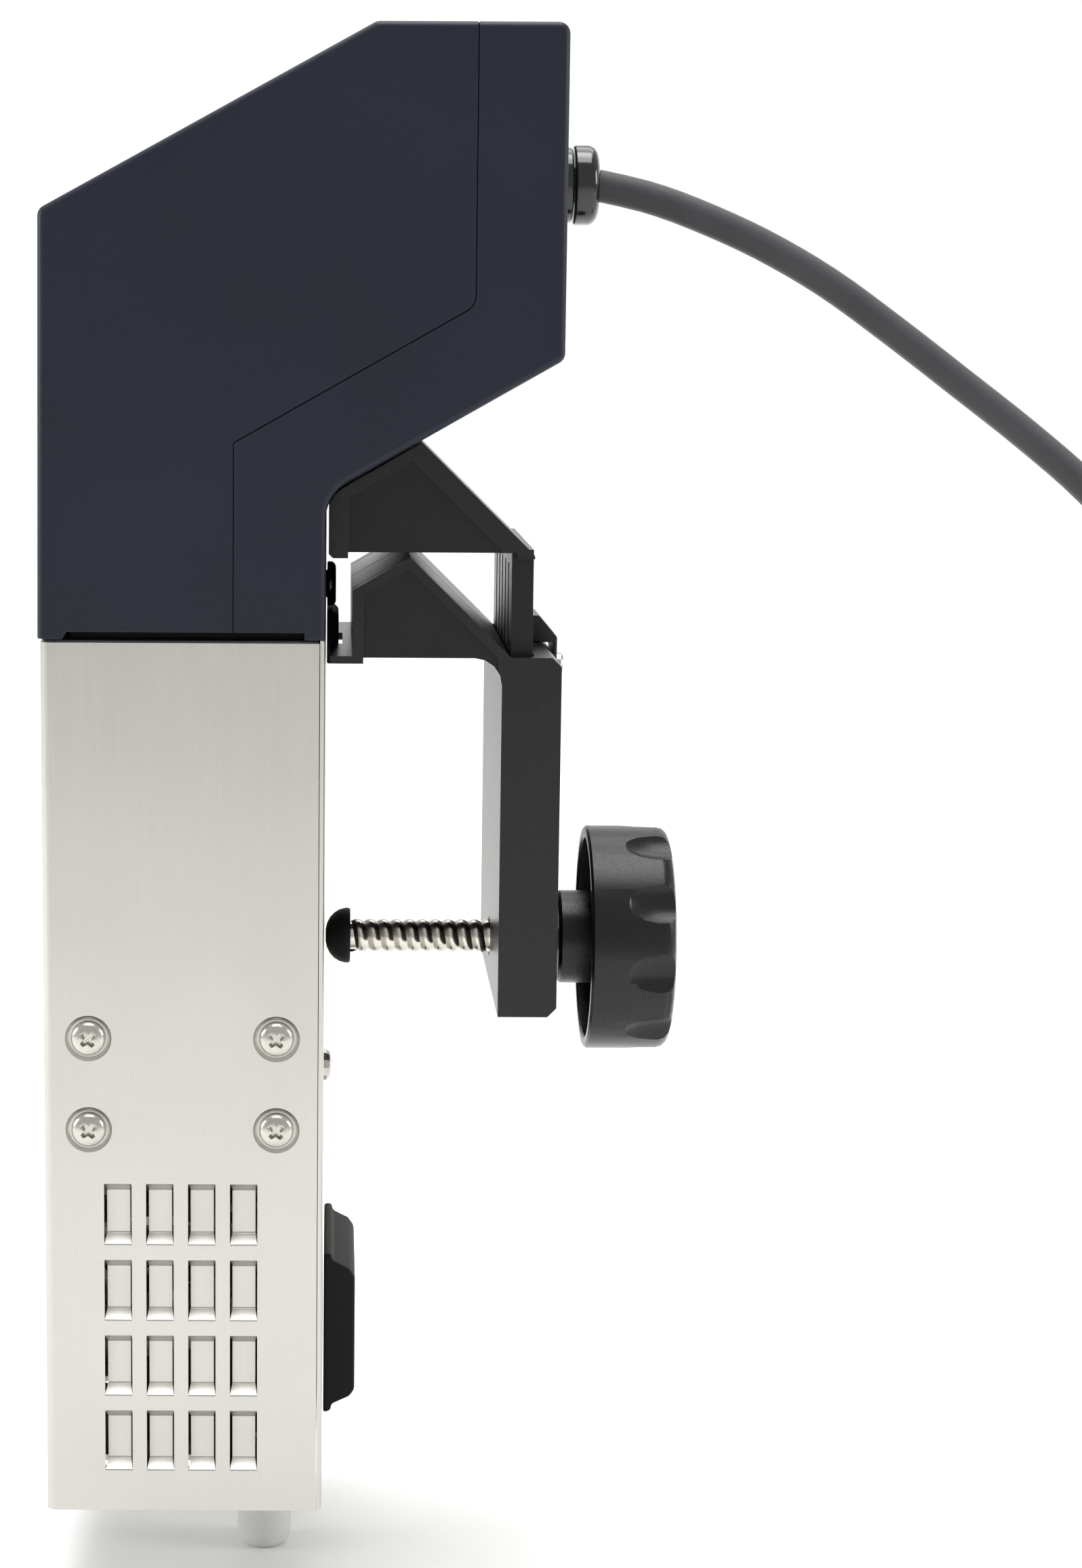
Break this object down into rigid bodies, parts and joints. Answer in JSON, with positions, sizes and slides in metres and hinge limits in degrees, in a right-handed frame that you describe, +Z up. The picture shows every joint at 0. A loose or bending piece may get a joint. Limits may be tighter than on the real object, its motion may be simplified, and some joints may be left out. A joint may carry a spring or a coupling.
{
  "type": "sous vide circulator",
  "caption": "Immersion circulator with a steel column, slanted control head, sliding jaw clamp with a screw knob, and a power cord wound in a coil.",
  "frame": {"origin": "on the column's flat rear face, level with the clamp screw's axis, midway across the width", "axes": "+X from the control side towards the clamp side, square to the pot wall; +Z up; Y across"},
  "size_m": [0.3949, 0.1495, 0.384],
  "materials": {
    "brushed_steel": "brushed stainless sheet, vertical grain",
    "inner_steel": "plain stainless sheet",
    "fastener_steel": "stainless machine screws",
    "bright_steel": "bright stainless, turned or drawn",
    "bearing_bronze": "sintered bronze",
    "aluminium": "plain extruded aluminium",
    "housing_plastic": "navy-charcoal moulded plastic, fine texture",
    "clamp_plastic": "black moulded plastic, fine texture",
    "inner_plastic": "dark moulded plastic",
    "gloss_plastic": "smooth black plastic",
    "rubber": "black rubber",
    "cord_jacket": "dark grey rubber cord jacket",
    "display_pane": "dark tinted pane over the display",
    "circuit_board": "green circuit board",
    "frosted_plastic": "frosted clear plastic"
  },
  "bodies": {
    "root": {"bottom_plate": "inner_steel", "clamp_arm": "clamp_plastic", "column_gasket": "rubber", "column_shell": "brushed_steel", "control_board": "circuit_board", "control_panel": "gloss_plastic", "cord_coil": "cord_jacket", "display_module": "circuit_board", "display_window": "display_pane", "front_housing": "housing_plastic", "gland_body": "gloss_plastic", "gland_nut": "gloss_plastic", "heat_sink": "aluminium", "heater_coil": "bright_steel", "level_probe": "bright_steel", "motor": "bright_steel", "motor_stool": "bright_steel", "mounting_plate": "inner_steel", "outlet_nozzle": "frosted_plastic", "plug": "cord_jacket", "power_board": "circuit_board", "power_cord": "cord_jacket", "pump_bracket": "inner_steel", "pump_cover": "inner_plastic", "pump_housing": "inner_plastic", "rear_housing": "housing_plastic", "rear_panel": "brushed_steel", "rear_screw": "fastener_steel", "relay": "inner_plastic", "service_cap": "gloss_plastic", "shaft_bush": "bearing_bronze", "side_screw_far_1": "fastener_steel", "side_screw_far_2": "fastener_steel", "side_screw_far_3": "fastener_steel", "side_screw_far_4": "fastener_steel", "side_screw_near_1": "fastener_steel", "side_screw_near_2": "fastener_steel", "side_screw_near_3": "fastener_steel", "side_screw_near_4": "fastener_steel", "standoff_1": "bright_steel", "standoff_2": "bright_steel", "standoff_3": "bright_steel", "temperature_probe": "bright_steel", "upper_buffer": "rubber", "wall_bumper": "rubber"},
    "jaw": {"clamp_jaw": "clamp_plastic", "nut_insert": "bright_steel", "bar_retainer": "clamp_plastic", "lock_bolt": "fastener_steel"},
    "pad": {"screw_pad": "rubber"},
    "screw": {"clamp_screw": "bright_steel", "clamp_knob": "clamp_plastic"},
    "rotor": {"drive_shaft": "bright_steel", "impeller": "inner_plastic", "cooling_fan": "inner_plastic"},
    "power_key": {"power_button": "rubber"},
    "down_key": {"down_button": "rubber"},
    "up_key": {"up_button": "rubber"},
    "timer_key": {"timer_button": "rubber"}
  },
  "joints": [
    {"name": "jaw_height", "type": "slide", "parent": "root", "child": "jaw", "axis": [0, 0, -1], "range_m": [0, 0.02]},
    {"name": "clamp_travel", "type": "slide", "parent": "jaw", "child": "pad", "axis": [1, 0, 0], "range_m": [0, 0.034]},
    {"name": "clamp_turn", "type": "hinge", "parent": "pad", "child": "screw", "pos_m": [0, 0, 0], "axis": [1, 0, 0], "range_deg": [0, 3720]},
    {"name": "rotor_spin", "type": "hinge", "parent": "root", "child": "rotor", "pos_m": [-0.0385, 0, 0], "axis": [0, 0, 1], "continuous": true},
    {"name": "power_press", "type": "slide", "parent": "root", "child": "power_key", "axis": [0.4795, 0, -0.8775], "range_m": [0, 0.0008], "stiffness_N_per_m": 1500},
    {"name": "down_press", "type": "slide", "parent": "root", "child": "down_key", "axis": [0.4795, 0, -0.8775], "range_m": [0, 0.0008], "stiffness_N_per_m": 1500},
    {"name": "up_press", "type": "slide", "parent": "root", "child": "up_key", "axis": [0.4795, 0, -0.8775], "range_m": [0, 0.0008], "stiffness_N_per_m": 1500},
    {"name": "timer_press", "type": "slide", "parent": "root", "child": "timer_key", "axis": [0.4795, 0, -0.8775], "range_m": [0, 0.0008], "stiffness_N_per_m": 1500}
  ],
  "couplings": [
    {"joint": "clamp_turn", "follows": "clamp_travel", "rad_per_m": 1904}
  ]
}
